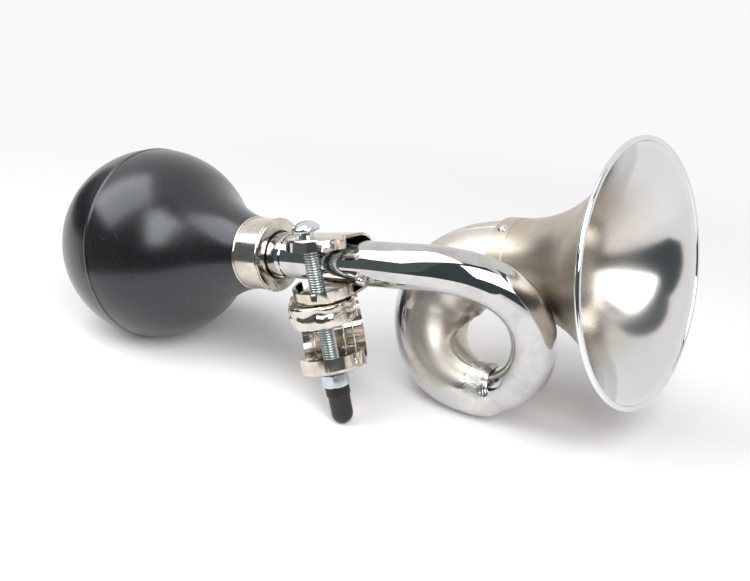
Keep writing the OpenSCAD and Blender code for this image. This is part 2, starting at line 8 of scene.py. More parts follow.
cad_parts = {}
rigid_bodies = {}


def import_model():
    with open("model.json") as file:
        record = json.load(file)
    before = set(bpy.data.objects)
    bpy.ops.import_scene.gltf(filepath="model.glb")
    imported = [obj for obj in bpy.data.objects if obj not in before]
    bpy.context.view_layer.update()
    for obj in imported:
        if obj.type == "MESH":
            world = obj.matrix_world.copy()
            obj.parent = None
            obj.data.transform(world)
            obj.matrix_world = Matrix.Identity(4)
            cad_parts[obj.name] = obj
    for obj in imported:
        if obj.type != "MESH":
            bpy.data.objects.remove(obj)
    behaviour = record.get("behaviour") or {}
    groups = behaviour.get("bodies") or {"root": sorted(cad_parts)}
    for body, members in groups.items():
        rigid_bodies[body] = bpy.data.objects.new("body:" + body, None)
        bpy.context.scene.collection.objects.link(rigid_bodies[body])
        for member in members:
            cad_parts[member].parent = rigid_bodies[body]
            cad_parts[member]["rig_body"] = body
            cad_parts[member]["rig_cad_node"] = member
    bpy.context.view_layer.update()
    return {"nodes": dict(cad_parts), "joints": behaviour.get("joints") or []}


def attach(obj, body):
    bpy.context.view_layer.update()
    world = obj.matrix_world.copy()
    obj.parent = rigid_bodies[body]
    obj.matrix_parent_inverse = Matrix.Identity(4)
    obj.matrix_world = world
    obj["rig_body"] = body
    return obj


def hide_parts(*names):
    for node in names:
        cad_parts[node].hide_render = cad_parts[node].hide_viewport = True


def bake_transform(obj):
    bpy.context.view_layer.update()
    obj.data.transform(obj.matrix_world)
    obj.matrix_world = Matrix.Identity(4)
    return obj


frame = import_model()
MM = 0.001

# Where the horn lies
# Every piece was measured with the tube along X, the ball's centre at the start and the loop
# hanging down. The frame's joints give where that tube and its cross axis lie on the table.
joints = {joint["name"]: joint for joint in frame["joints"]}
BALL = Vector(joints["bulb_turn"]["pos_m"])
ALONG = Vector(joints["bulb_turn"]["axis"]).normalized()
ACROSS = Vector(joints["reed_beat"]["axis"]).normalized()
RESTING = Matrix.Translation(BALL) @ Matrix((ALONG, ACROSS, ALONG.cross(ACROSS))).transposed().to_4x4()

# Camera
# A normal lens near the horn's front and a little above it, as the horn was photographed.
CAMERA_AT = (286.24, -262.14, 75.21)
CAMERA_YAW = math.radians(-36.4272)
CAMERA_PITCH = math.radians(14.3921)
CAMERA_ROLL = math.radians(-3.9547)
LENS = 52.8
SENSOR_W = 36

ahead = Vector((
    math.sin(CAMERA_YAW) * math.cos(CAMERA_PITCH),
    math.cos(CAMERA_YAW) * math.cos(CAMERA_PITCH),
    -math.sin(CAMERA_PITCH),
))
right = Vector((math.cos(CAMERA_YAW), -math.sin(CAMERA_YAW), 0))
above = right.cross(ahead)
rolled_right = right * math.cos(CAMERA_ROLL) + above * math.sin(CAMERA_ROLL)
rolled_above = above * math.cos(CAMERA_ROLL) - right * math.sin(CAMERA_ROLL)
camera_turn = Matrix((rolled_right, rolled_above, -ahead)).transposed().to_4x4()
bpy.ops.object.camera_add()
camera = bpy.context.object
camera.name = "camera"
camera.data.sensor_width = SENSOR_W
camera.data.lens = LENS
camera.data.clip_start = 0.01
camera.matrix_world = RESTING @ Matrix.Translation(Vector(CAMERA_AT) * MM) @ camera_turn
bpy.context.scene.camera = camera
bpy.context.scene.view_settings.view_transform = "Standard"

# Floor and studio
# A seamless white sheet, two soft banks of light above it and a white room round it. Dark cards
# on the lens's side, which only the reflections see, draw the dark bands on the plated pieces.
PAPER_SIZE = 6
PAPER_WHITE = "#faf9f9"
PAPER_ROUGH = 0.9
PAPER_GLOW = 0.08
GLOW_NEAR = 0.15
GLOW_FAR = 0.34
ROOM_LEVEL = 0.2
CARD_GREY = "#636b6c"
CARD_DARK = "#4a5356"
CARD_NEAREST = 150
CARD_NEAREST_RIGHT = 450
CARD_FARTHEST = 950
CARD_FOOT = 1
CARD_TALL = 3000
CARD_STEPS = 24

# Turns of the cards' edges from the lens, in degrees to the right
CARD_BACK = -140
CARD_LEFT = -88
CARD_LENS = -38
CARD_MIDDLE = 8
CARD_RIGHT = 49
HIGH_CARD_LEFT = 45
HIGH_CARD_RIGHT = 92

# Heights of the low wall on the left and of the card that hangs above the table
LEFT_WALL_TALL = 500
HIGH_CARD_FOOT = 420
HIGH_CARD_TALL = 1250
HIGH_CARD_CLIMB = 900

HORN_MIDDLE = (75, 10, -10)
BANK_AWAY = 800


def linear(colour):
    """A written colour as linear light."""
    channels = [int(colour[i:i + 2], 16) / 255 for i in (1, 3, 5)]
    return tuple(c / 12.92 if c <= 0.04045 else ((c + 0.055) / 1.055) ** 2.4 for c in channels) + (1,)


def add_node(tree, kind, settings=None, links=None):
    """A node with its settings, its uniform inputs and the sources linked to its other inputs."""
    node = tree.nodes.new(kind)
    for key, value in (settings or {}).items():
        if isinstance(key, int) or key[0].isupper():
            node.inputs[key].default_value = value
        else:
            setattr(node, key, value)
    for socket, source in (links or {}).items():
        tree.links.new(source, node.inputs[socket])
    return node


def new_material(name):
    """A material with its node tree and its surface shader."""
    material = bpy.data.materials.new(name)
    material.use_nodes = True
    return material, material.node_tree, material.node_tree.nodes["Principled BSDF"]


def seen_rays(tree):
    """One for what the lens, a mirror or glass sees, and nothing for the light that bounces."""
    path = add_node(tree, "ShaderNodeLightPath")
    mirrored = add_node(tree, "ShaderNodeMath", {"operation": "MAXIMUM"}, {
        0: path.outputs["Is Glossy Ray"], 1: path.outputs["Is Transmission Ray"],
    })
    return add_node(tree, "ShaderNodeMath", {"operation": "MAXIMUM"}, {
        0: path.outputs["Is Camera Ray"], 1: mirrored.outputs[0],
    })


bpy.ops.mesh.primitive_plane_add(size=PAPER_SIZE)
floor = bpy.context.object
floor.name = "floor"
paper, tree, shader = new_material("white_paper_sweep")
shader.inputs["Base Color"].default_value = linear(PAPER_WHITE)
shader.inputs["Roughness"].default_value = PAPER_ROUGH
glow = add_node(tree, "ShaderNodeEmission", {"Color": linear(PAPER_WHITE), "Strength": 1})
where = add_node(tree, "ShaderNodeTexCoord")
away = add_node(tree, "ShaderNodeVectorMath", {"operation": "LENGTH"}, {0: where.outputs["Object"]})
evened = add_node(
    tree, "ShaderNodeMapRange",
    {"From Min": GLOW_NEAR, "From Max": GLOW_FAR, "To Min": PAPER_GLOW, "To Max": 1.0},
    {"Value": away.outputs["Value"]},
)
share = add_node(tree, "ShaderNodeMath", {"operation": "MULTIPLY"}, {
    0: seen_rays(tree).outputs[0], 1: evened.outputs[0],
})
lit = add_node(tree, "ShaderNodeMixShader", links={
    0: share.outputs[0], 1: shader.outputs[0], 2: glow.outputs[0],
})
tree.links.new(lit.outputs[0], tree.nodes["Material Output"].inputs["Surface"])
floor.data.materials.append(paper)

# Towards the lens, level with the table
lens_side = camera.matrix_world.to_quaternion() @ Vector((0, 0, 1))
card_turn = Matrix.Rotation(math.atan2(lens_side.y, lens_side.x), 4, "Z")


def woven(name, rows):
    """A grid with a crossing for each place given, every crossing then moved to its place."""
    count = len(rows[0])
    bpy.ops.object.select_all(action="DESELECT")
    bpy.ops.mesh.primitive_grid_add(x_subdivisions=count - 1, y_subdivisions=len(rows) - 1, size=1)
    piece = bpy.context.object
    piece.name = name
    for i, vertex in enumerate(piece.data.vertices):
        vertex.co = Vector(rows[i // count][i % count]) * MM
    return piece


def grey_side(name, colour, left, right, rows, climb=0):
    """A dark card bent round the lens's side of the table, from rows of distance and height.

    The card's right end stands higher than its left by the climb.
    """
    card_paint, tree, shader = new_material(name + "_paint")
    shader.inputs["Base Color"].default_value = (0, 0, 0, 1)
    shader.inputs["Specular IOR Level"].default_value = 0
    shader.inputs["Emission Color"].default_value = linear(colour)
    shader.inputs["Emission Strength"].default_value = 1
    turns = [math.radians(left + (right - left) * k / CARD_STEPS) for k in range(CARD_STEPS + 1)]
    lift = climb / (turns[-1] - turns[0])
    card = woven(name, [
        [Vector((d * math.cos(a), d * math.sin(a), h + lift * (a - turns[0]))) for a in turns]
        for d, h in rows
    ])
    card.data.transform(card_turn)
    card.data.materials.append(card_paint)
    card.visible_camera = False
    card.visible_diffuse = False
    card.visible_shadow = False


wall = [(CARD_FARTHEST, CARD_FOOT), (CARD_FARTHEST, CARD_TALL)]
left_sheet = [(CARD_NEAREST, CARD_FOOT)] + wall
right_sheet = [(CARD_NEAREST_RIGHT, CARD_FOOT)] + wall
high_sheet = [(CARD_FARTHEST, HIGH_CARD_FOOT), (CARD_FARTHEST, HIGH_CARD_TALL)]
low_wall = [(CARD_FARTHEST, CARD_FOOT), (CARD_FARTHEST, LEFT_WALL_TALL)]
grey_side("grey_sweep", CARD_GREY, CARD_LEFT, CARD_LENS, left_sheet)
grey_side("lens_sweep", CARD_DARK, CARD_LENS, CARD_MIDDLE, left_sheet)
grey_side("right_sweep", CARD_DARK, CARD_MIDDLE, CARD_RIGHT, right_sheet)
grey_side("high_card", CARD_GREY, HIGH_CARD_LEFT, HIGH_CARD_RIGHT, high_sheet, HIGH_CARD_CLIMB)
grey_side("left_wall", CARD_DARK, CARD_BACK, CARD_LEFT, low_wall)

world = bpy.data.worlds.new("white_room")
world.use_nodes = True
tree = world.node_tree
level = add_node(
    tree, "ShaderNodeMapRange", {"To Min": ROOM_LEVEL, "To Max": 1.0}, {"Value": seen_rays(tree).outputs[0]}
)
tree.nodes["Background"].inputs["Color"].default_value = linear(PAPER_WHITE)
tree.links.new(level.outputs[0], tree.nodes["Background"].inputs["Strength"])
bpy.context.scene.world = world


def bank_of_light(name, turn, rise, size, watts):
    """A soft box turned round from the lens, to its right, and raised, facing the horn."""
    bpy.ops.object.light_add(type="AREA")
    lamp = bpy.context.object
    lamp.name = name
    lamp.data.shape = "RECTANGLE"
    lamp.data.size = size[0] * MM
    lamp.data.size_y = size[1] * MM
    lamp.data.energy = watts
    turned = (
        card_turn @ Matrix.Rotation(math.radians(turn), 4, "Z")
        @ Matrix.Rotation(-math.radians(rise), 4, "Y")
    )
    away = turned @ Vector((BANK_AWAY * MM, 0, 0))
    lamp.location = RESTING @ (Vector(HORN_MIDDLE) * MM) + away
    lamp.rotation_euler = (-away).to_track_quat("-Z", "Y").to_euler()
    lamp.visible_camera = False


bank_of_light("right_bank", turn=15, rise=40, size=(620, 600), watts=6.6)
bank_of_light("left_bank", turn=-80, rise=51, size=(680, 800), watts=5.9)

# Bulb
# One hollow ball of moulded black rubber with a long shoulder and a short neck. It was moulded in
# two halves, which leaves a fine flash line round its widest place.
FIT = 0.04
BULB_R = 33
BULB_WALL = 3
SHOULDER_R = 50
SHOULDER_FOOT_R = 10.6
FERRULE_X = 45.3
FERRULE_LEN = 10.7
FERRULE_R = 11.6
FERRULE_WALL = 0.65
NECK_OUT_R = FERRULE_R - FERRULE_WALL - FIT
NECK_IN_R = 7.52
NECK_END = FERRULE_X + FERRULE_LEN - FERRULE_WALL - FIT
FLASH_HALF = 0.6
FLASH_FOOT = 1.1
FLASH_ROOM = 1.2
FLASH_RISE = 0.26
BALL_STEPS = 64
BALL_STEPS_IN = 40
SHOULDER_STEPS = 16
SHOULDER_STEPS_IN = 12
LATHE_SIDES = 128
MERGE_MM = 0.002


def chain(name, points):
    """An open wire, drawn by extruding its end from place to place."""
    places = [Vector(point) * MM for point in points]
    bpy.ops.object.select_all(action="DESELECT")
    bpy.ops.mesh.primitive_plane_add(size=MM)
    piece = bpy.context.object
    piece.name = name
    bpy.ops.object.mode_set(mode="EDIT")
    bpy.ops.mesh.merge(type="CENTER")
    bpy.ops.transform.translate(value=places[0])
    for start, end in zip(places, places[1:]):
        bpy.ops.mesh.extrude_region_move(TRANSFORM_OT_translate={"value": end - start})
    bpy.ops.object.mode_set(mode="OBJECT")
    return piece


def pick(piece):
    """Makes this piece the only one that an operator acts on."""
    bpy.ops.object.select_all(action="DESELECT")
    piece.select_set(True)
    bpy.context.view_layer.objects.active = piece


def tidy_mesh(piece):
    """Closes the seams and poles, then turns every face outwards."""
    pick(piece)
    bpy.ops.object.mode_set(mode="EDIT")
    bpy.ops.mesh.select_all(action="SELECT")
    bpy.ops.mesh.remove_doubles(threshold=MERGE_MM * MM)
    bpy.ops.mesh.normals_make_consistent(inside=False)
    bpy.ops.object.mode_set(mode="OBJECT")


def lathe(name, profile, sides=LATHE_SIDES):
    """A closed or pole-to-pole profile of distance and radius, spun round the X axis."""
    piece = chain(name, [(x, 0, r) for x, r in profile])
    bpy.ops.object.mode_set(mode="EDIT")
    bpy.ops.mesh.select_all(action="SELECT")
    bpy.ops.mesh.spin(steps=sides, angle=math.tau, center=(0, 0, 0), axis=(1, 0, 0))
    bpy.ops.object.mode_set(mode="OBJECT")
    tidy_mesh(piece)
    return piece


def set_down(piece, body, slot, material, *nodes, place=Matrix.Identity(4), crease=35):
    """Lays a finished piece on the table in its place, hands it to its body and hides the nodes it stands
    for.
    """
    piece.data.transform(RESTING @ place)
    pick(piece)
    bpy.ops.object.shade_smooth_by_angle(angle=math.radians(crease))
    piece.data.materials.clear()
    piece.data.materials.append(material)
    if body:
        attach(piece, body)
    if nodes:
        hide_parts(*nodes)


def spots(tree, scale, detail=2.0, roughness=0.5):
    """Noise on the piece's own coordinates."""
    where = add_node(tree, "ShaderNodeTexCoord")
    return add_node(
        tree, "ShaderNodeTexNoise", {"Scale": scale, "Detail": detail, "Roughness": roughness},
        {"Vector": where.outputs["Object"]},
    )


def ranged(tree, source, low, high, start=0.0, end=1.0):
    """A pattern's stretch from start to end, brought to lie from low to high."""
    return add_node(
        tree, "ShaderNodeMapRange",
        {"From Min": start, "From Max": end, "To Min": low, "To Max": high}, {"Value": source},
    )


def mixed(tree, source, colour, other_colour):
    """The first colour where the source is nothing and the other where it is one."""
    return add_node(
        tree, "ShaderNodeMix",
        {"data_type": "RGBA", 6: linear(colour), 7: linear(other_colour)}, {0: source},
    )


def dress(tree, shader, shade, gloss, bump):
    """Wires a mixed colour, a gloss and a grain to the shader."""
    tree.links.new(shade.outputs[2], shader.inputs["Base Color"])
    tree.links.new(gloss.outputs[0], shader.inputs["Roughness"])
    tree.links.new(bump.outputs[0], shader.inputs["Normal"])


# Natural rubber, moulded and handled: a satin black with a fine grain, faint dust specks and a
# slight blue bloom in its shine.
rubber, tree, shader = new_material("moulded_black_rubber")
grain = spots(tree, 1 / (0.35 * MM), 3)
clouds = spots(tree, 1 / (14 * MM), 3)
shade = mixed(tree, clouds.outputs["Fac"], "#0c0c0d", "#151516")
gloss = ranged(tree, clouds.outputs["Fac"], 0.23, 0.31, 0.3, 0.7)
bump = add_node(
    tree, "ShaderNodeBump", {"Strength": 0.12, "Distance": 0.05 * MM}, {"Height": grain.outputs["Fac"]}
)
dust = ranged(tree, spots(tree, 1 / (0.9 * MM), 1).outputs["Fac"], 0.0, 0.6, 0.70, 0.76)
dusted = add_node(
    tree, "ShaderNodeMix", {"data_type": "RGBA", 7: linear("#4b4b4a")},
    {0: dust.outputs[0], 6: shade.outputs[2]},
)
dress(tree, shader, dusted, gloss, bump)
shader.inputs["IOR"].default_value = 1.6
shader.inputs["Coat Weight"].default_value = 0.3
shader.inputs["Specular Tint"].default_value = linear("#e6edf7")
shader.inputs["Coat Roughness"].default_value = 0.24

shoulder_x = math.sqrt((BULB_R + SHOULDER_R) ** 2 - (SHOULDER_FOOT_R + SHOULDER_R) ** 2)
shoulder_y = SHOULDER_FOOT_R + SHOULDER_R
touch = math.atan2(shoulder_y, shoulder_x)


def shoulder_arc(radius, steps):
    """Points down the hollow curve from the ball to the ferrule's rear edge."""
    first = math.pi / 2 - touch
    last = math.asin((shoulder_x - FERRULE_X + FIT) / radius)
    angles = [first + (last - first) * i / steps for i in range(steps + 1)]
    return [(shoulder_x - radius * math.sin(a), shoulder_y - radius * math.cos(a)) for a in angles]


def ball_arc(radius, steps, flash):
    """Points over the ball from its rear pole to the shoulder, with the flash line in the middle."""
    points = []
    for i in range(steps + 1):
        a = math.pi - (math.pi - touch) * i / steps
        x = radius * math.cos(a)
        if flash and abs(x) < FLASH_ROOM:
            continue
        points.append((x, max(0.0, radius * math.sin(a))))
    if flash:
        ridge = [(-FLASH_FOOT, 0), (-FLASH_HALF, 0), (-FLASH_HALF / 2, FLASH_RISE),
                 (FLASH_HALF / 2, FLASH_RISE), (FLASH_HALF, 0), (FLASH_FOOT, 0)]
        points += [(x, math.sqrt(radius ** 2 - x ** 2) + rise) for x, rise in ridge]
        points.sort()
    return points


bulb = lathe(
    "squeeze_bulb",
    ball_arc(BULB_R, BALL_STEPS, True)
    + shoulder_arc(SHOULDER_R, SHOULDER_STEPS)[1:]
    + [(FERRULE_X, NECK_OUT_R), (NECK_END, NECK_OUT_R), (NECK_END, NECK_IN_R), (FERRULE_X, NECK_IN_R)]
    + shoulder_arc(SHOULDER_R + BULB_WALL, SHOULDER_STEPS_IN)[::-1]
    + ball_arc(BULB_R - BULB_WALL, BALL_STEPS_IN, False)[::-1][1:],
)
set_down(bulb, None, "bulb_rubber", rubber, "bulb_back", "bulb_front", crease=50)
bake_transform(bulb)

# Ferrule
# A cup pressed from nickel-plated steel that grips the bulb's neck. Both its edges are rolled into
# a bead, and its front face is turned in to a hole round the tube's sleeve.
FERRULE_HOLE_R = 8
FERRULE_BEAD_R = 0.45
FERRULE_EDGE = 0.1
FERRULE_BEND = 0.3
FERRULE_END = FERRULE_X + FERRULE_LEN


def plated(name, colour, smudge_colour, rough, smudge, grain, strength):
    """Bright plate: a mirror dulled by wiping marks, over a faintly uneven base metal."""
    material, tree, shader = new_material(name)
    wiped = spots(tree, 1 / (6 * MM), 4, 0.6)
    fine = spots(tree, 1 / (grain * MM), 2)
    smudged = ranged(tree, wiped.outputs["Fac"], 0.0, 1.0, 0.45, 0.75)
    shade = mixed(tree, smudged.outputs[0], colour, smudge_colour)
    gloss = ranged(tree, wiped.outputs["Fac"], rough, rough + smudge, 0.35, 0.75)
    bump = add_node(
        tree, "ShaderNodeBump",
        {"Strength": strength, "Distance": 0.05 * MM}, {"Height": fine.outputs["Fac"]},
    )
    dress(tree, shader, shade, gloss, bump)
    shader.inputs["Metallic"].default_value = 1
    return material


# Bright nickel plate on pressed steel: warmer than chrome, with soft wiping marks.
nickel = plated("bright_nickel_plate", "#d8d2c8", "#b9b0a2", 0.09, 0.14, 1.2, 0.06)


def bead(x, r, radius, steps=10):
    """A half-round bead over a profile, from its rear foot to its front foot."""
    angles = [math.pi - math.pi * i / steps for i in range(steps + 1)]
    return [(x + radius * math.cos(a), r + radius * math.sin(a)) for a in angles]


ferrule_profile = (
    bead(FERRULE_X + FERRULE_BEAD_R, FERRULE_R, FERRULE_BEAD_R)
    + [(FERRULE_X + 1.4, FERRULE_R), (FERRULE_END - 1.9, FERRULE_R)]
    + bead(FERRULE_END - 2 * FERRULE_BEAD_R, FERRULE_R, FERRULE_BEAD_R)
    + [
        (FERRULE_END - FERRULE_BEND, FERRULE_R - 0.02),
        (FERRULE_END - FERRULE_EDGE, FERRULE_R - FERRULE_EDGE),
        (FERRULE_END, FERRULE_R - FERRULE_BEND),
        (FERRULE_END, FERRULE_HOLE_R + FERRULE_EDGE),
        (FERRULE_END - FERRULE_EDGE, FERRULE_HOLE_R),
        (FERRULE_END - FERRULE_WALL, FERRULE_HOLE_R),
        (FERRULE_END - FERRULE_WALL, FERRULE_R - FERRULE_WALL),
        (FERRULE_X, FERRULE_R - FERRULE_WALL),
        (FERRULE_X, FERRULE_R),
    ]
)
ferrule = lathe("ferrule_cup", ferrule_profile)
set_down(ferrule, "bulb", "nickel_bright", nickel, "ferrule")

# Sleeve
# A short steel sleeve soldered round the tube's end and chromed with it. The bulb's neck turns on it.
TUBE_R = 7
TUBE_X = 47.5
SLEEVE_R = 7.46
SLEEVE_EDGE = 0.15
SLEEVE_END = FERRULE_END + 5

# Polished chrome plate: a hard cool mirror with faint dulling where it was handled.
chrome = plated("polished_chrome_plate", "#c8c8c7", "#b4b4b2", 0.035, 0.05, 2.5, 0.02)

sleeve = lathe("tube_sleeve", [
    (TUBE_X, TUBE_R + FIT), (TUBE_X, SLEEVE_R), (SLEEVE_END - SLEEVE_EDGE, SLEEVE_R),
    (SLEEVE_END, SLEEVE_R - SLEEVE_EDGE), (SLEEVE_END, TUBE_R + FIT), (TUBE_X, TUBE_R + FIT),
])
set_down(sleeve, "horn", "chrome_tube", chrome, "sleeve")

# Tube
# Drawn steel tube, straight through the clamp, then bent out and down round the loop to the braze.
BEND_X = 93.9
TUBE_SIDE = Vector((135.7, 13.1, -12.3))
LOW = Vector((115.7, 25.5, -45.3))
TUBE_ROUND = 1.12
TUBE_PAST_BRAZE = 1.5
TUBE_STEPS = 12
TUBE_SIDES = 96
TUBE_WAVE = 0.07
WAVE_SCALE = 0.16
BEND_STEPS = 48
AHEAD_WAY = Vector((1, 0, 0))
BACK_WAY = Vector((-1, 0, 0))
SIDE_WAY = Vector((0, 1, 0))


def joined(p, p_way, q, q_way, roundness, u):
    """A smooth curve between two places with given directions."""
    reach = (q - p).length * roundness
    return (
        p * (2 * u ** 3 - 3 * u ** 2 + 1) + q * (3 * u ** 2 - 2 * u ** 3)
        + p_way * reach * (u ** 3 - 2 * u ** 2 + u) + q_way * reach * (u ** 3 - u ** 2)
    )


def run(p, p_way, q, q_way, roundness, steps):
    """Places along such a curve, up to its end but without it."""
    return [joined(p, p_way, q, q_way, roundness, i / steps) for i in range(steps)]


def ring_ways(line):
    """Direction at each place of a line."""
    last = len(line) - 1
    return [(line[min(i + 1, last)] - line[max(i - 1, 0)]).normalized() for i in range(last + 1)]


def pipe(name, line, radii, sides, wave=0.0, square=SIDE_WAY):
    """A round skin along a line, closed by a point at both ends, with a slight wave to it."""
    rows = []
    ways = ring_ways(line)
    rows.append([line[0]] * (sides + 1))
    for place, way, radius in zip(line, ways, radii):
        side = (square - way * way.dot(square)).normalized()
        up = way.cross(side)
        row = []
        for k in range(sides + 1):
            a = math.tau * (k % sides) / sides
            spoke = side * math.cos(a) + up * math.sin(a)
            unevenness = wave * noise.noise((place + spoke * radius) * WAVE_SCALE)
            row.append(place + spoke * (radius + unevenness))
        rows.append(row)
    rows.append([line[-1]] * (sides + 1))
    piece = woven(name, rows)
    tidy_mesh(piece)
    return piece


bend_start = Vector((BEND_X, 0, 0))
tube_side_way = (LOW - bend_start).normalized()
bend = (
    run(bend_start, AHEAD_WAY, TUBE_SIDE, tube_side_way, TUBE_ROUND, BEND_STEPS)
    + run(TUBE_SIDE, tube_side_way, LOW, BACK_WAY, TUBE_ROUND, BEND_STEPS)
    + [LOW, LOW + BACK_WAY * TUBE_PAST_BRAZE]
)
straight = [Vector((TUBE_X + (BEND_X - TUBE_X) * i / TUBE_STEPS, 0, 0)) for i in range(TUBE_STEPS)]
tube_line = straight + bend
tube = pipe("looped_tube", tube_line, [TUBE_R] * len(tube_line), TUBE_SIDES, TUBE_WAVE)
set_down(tube, "horn", "chrome_tube", chrome, "tube", crease=60)

# Wide part
# Two pressed steel halves, soldered along a seam. The seam is filed flush on the outside and left
# as a rough flange inside the loop's eye. Nickel plate covers both, buffed on the outer side.
HORN_SIDE_X = 91.3
HORN_SIDE_DOWN = 24.5
SOCKET = Vector((117.3, 40.2, -7.3))
BELL_YAW = math.radians(2.9)
BELL_RISE = math.radians(1.4)
SOCKET_LEN = 5.8
HORN_ROUND = 1.28
HORN_R = (8.6, 12.8, 14)
HORN_WALL = 0.8
SEAM_FLANGE = 2.2
SEAM_LEAN = math.radians(20)
SEAM_GROOVE = 0.14
SEAM_GAP = 0.02
SEAM_EDGE = 0.22
SEAM_TURN = 0.03
SEAM_RAGGED = 0.22
RAGGED_SCALE = 0.31
HORN_STEPS = 60
HORN_SIDES = 30

# Where the flange is, in twelfths of a run, its least width and how wide its root is bent
RUN_PARTS = 12
FLANGE_GROWN = 4
FLANGE_GONE = 22
FLANGE_FADE = 6
FLANGE_LEAST = 0.05
FLANGE_ROOT = 1.5

# Where the buffing begins and ends, in shares of a run and of the radius
BUFF_NEAR_BRAZE = (0.05, 0.45)
BUFF_END = (0.9, 1.3)
BUFF_EDGE = (-0.12, 0.22)
BUFF_EDGE_DROP = (0.8, 0.6)

bell_turn = Matrix.Rotation(-BELL_YAW, 4, "Z") @ Matrix.Rotation(-BELL_RISE, 4, "Y")
bell_way = (bell_turn @ AHEAD_WAY).normalized()
rise = SOCKET - LOW
share = (-LOW.z - HORN_SIDE_DOWN) / rise.z
horn_side = Vector((HORN_SIDE_X, LOW.y + rise.y * share, -HORN_SIDE_DOWN))
horn_side_way = rise.normalized()
horn_line = (
    run(LOW, BACK_WAY, horn_side, horn_side_way, HORN_ROUND, HORN_STEPS)
    + run(horn_side, horn_side_way, SOCKET, bell_way, HORN_ROUND, HORN_STEPS)
    + [SOCKET, SOCKET + bell_way * (SOCKET_LEN - FIT)]
)
seam_square = Matrix.Rotation(SEAM_LEAN, 3, "X") @ SIDE_WAY


def horn_radius(i):
    """Radius of the wide part at a step: quick to widen on the first run, slow on the second."""
    share = i / HORN_STEPS
    if share <= 1:
        return HORN_R[0] + (HORN_R[1] - HORN_R[0]) * share
    return HORN_R[1] + (HORN_R[2] - HORN_R[1]) * min(1, share - 1)


def flange_width(i):
    """Width of the seam's flange, which grows over a third of the first run and fades near the bell."""
    share = i / HORN_STEPS * RUN_PARTS
    grow = math.sin(math.pi / 2 * min(1, share / FLANGE_GROWN))
    fade = math.sin(math.pi / 2 * min(1, max(0, FLANGE_GONE - share) / FLANGE_FADE))
    return max(FLANGE_LEAST, SEAM_FLANGE * grow * fade)


def half_section(i, side):
    """Across and outward places of one half, from the outer seam round to the flange's edge."""
    radius = horn_radius(i)
    flange = flange_width(i)
    root = math.asin(HORN_WALL / radius) * FLANGE_ROOT
    points = [(SEAM_GAP, radius - SEAM_GROOVE), (SEAM_EDGE, radius - 0.01)]
    first = math.pi / 2 - SEAM_TURN
    for k in range(HORN_SIDES + 1):
        a = first - (first + math.pi / 2 - root) * k / HORN_SIDES
        points.append((radius * math.cos(a), radius * math.sin(a)))
    ragged = SEAM_RAGGED * noise.noise(Vector((i * RAGGED_SCALE, side * 3.7, 0))) * min(1, flange)
    points.append((HORN_WALL * 1.02, -radius * math.cos(root) - 0.12))
    points.append((HORN_WALL, -radius - flange * 0.3))
    points.append((HORN_WALL, -radius - flange * 0.8 - ragged))
    points.append((HORN_WALL * 0.75, -radius - flange - ragged))
    points.append((SEAM_GAP, -radius - flange - ragged))
    return [(side * across, outward) for across, outward in points]


horn_ways = ring_ways(horn_line)
horn_ways[0] = BACK_WAY


def smooth(low, high, value):
    """Nothing below the low value, one above the high one, and an easy passage between."""
    share = max(0.0, min(1.0, (value - low) / (high - low)))
    return share * share * (3 - 2 * share)


def record_buff_and_groove_shade(piece, values):
    """Records how far each place was buffed, for the plate's finish, and on the screw's thread how far it
    lies out of the grooves' painted shade.
    """
    layer = piece.data.attributes.new("buffed", "FLOAT", "POINT")
    for place, value in zip(layer.data, values):
        place.value = value


def pressed_half(name, side):
    """One half's sheet, buffed on its outer side on the first run and all round near the braze."""
    rows = []
    buffed = []
    for i, (place, way) in enumerate(zip(horn_line, horn_ways)):
        across = (seam_square - way * way.dot(seam_square)).normalized()
        outward = way.cross(across)
        section = half_section(i, side)
        rows.append([place + across * x + outward * y for x, y in section])
        near_braze = 1 - smooth(*BUFF_NEAR_BRAZE, i / HORN_STEPS)
        reached = 1 - smooth(*BUFF_END, i / HORN_STEPS)
        low = BUFF_EDGE[0] - BUFF_EDGE_DROP[0] * near_braze
        high = BUFF_EDGE[1] - BUFF_EDGE_DROP[1] * near_braze
        buffed += [reached * smooth(low, high, y / horn_radius(i)) for x, y in section]
    piece = woven(name, rows)
    record_buff_and_groove_shade(piece, buffed)
    tidy_mesh(piece)
    return piece


def plate_buffed_and_groove_shaded(
    name, colour, cloud_colour, rough, rough_spread,
    bright_rough=0.05, bright="#cbcbca", pit=0.25, deep=0.02, pitted=0.12,
):
    """Plate over brushed metal: satin and cloudy where no wheel reached, a mirror where it was buffed.

    The pits lie as far apart as pit says and are as deep as deep says, both in millimetres.
    """
    # On the screw's thread the buffed share is painted shade: grey in the grooves, pale on the crests.
    material, tree, shader = new_material(name)
    cloud = spots(tree, 1 / (9 * MM), 4, 0.55)
    fine = spots(tree, 1 / (pit * MM), 2)
    buffed = add_node(tree, "ShaderNodeAttribute", {"attribute_name": "buffed"})
    clouded = ranged(tree, cloud.outputs["Fac"], 0.0, 1.0, 0.35, 0.7)
    shade = mixed(tree, clouded.outputs[0], colour, cloud_colour)
    shine = add_node(
        tree, "ShaderNodeMix", {"data_type": "RGBA", 7: linear(bright)},
        {0: buffed.outputs["Fac"], 6: shade.outputs[2]},
    )
    gloss = ranged(tree, cloud.outputs["Fac"], rough, rough + rough_spread, 0.3, 0.7)
    polish = add_node(
        tree, "ShaderNodeMix", {3: bright_rough}, {0: buffed.outputs["Fac"], 2: gloss.outputs[0]}
    )
    left_rough = ranged(tree, buffed.outputs["Fac"], pitted, 0.01)
    bump = add_node(
        tree, "ShaderNodeBump", {"Distance": deep * MM},
        {"Height": fine.outputs["Fac"], "Strength": left_rough.outputs[0]},
    )
    dress(tree, shader, shine, polish, bump)
    shader.inputs["Metallic"].default_value = 1
    return material


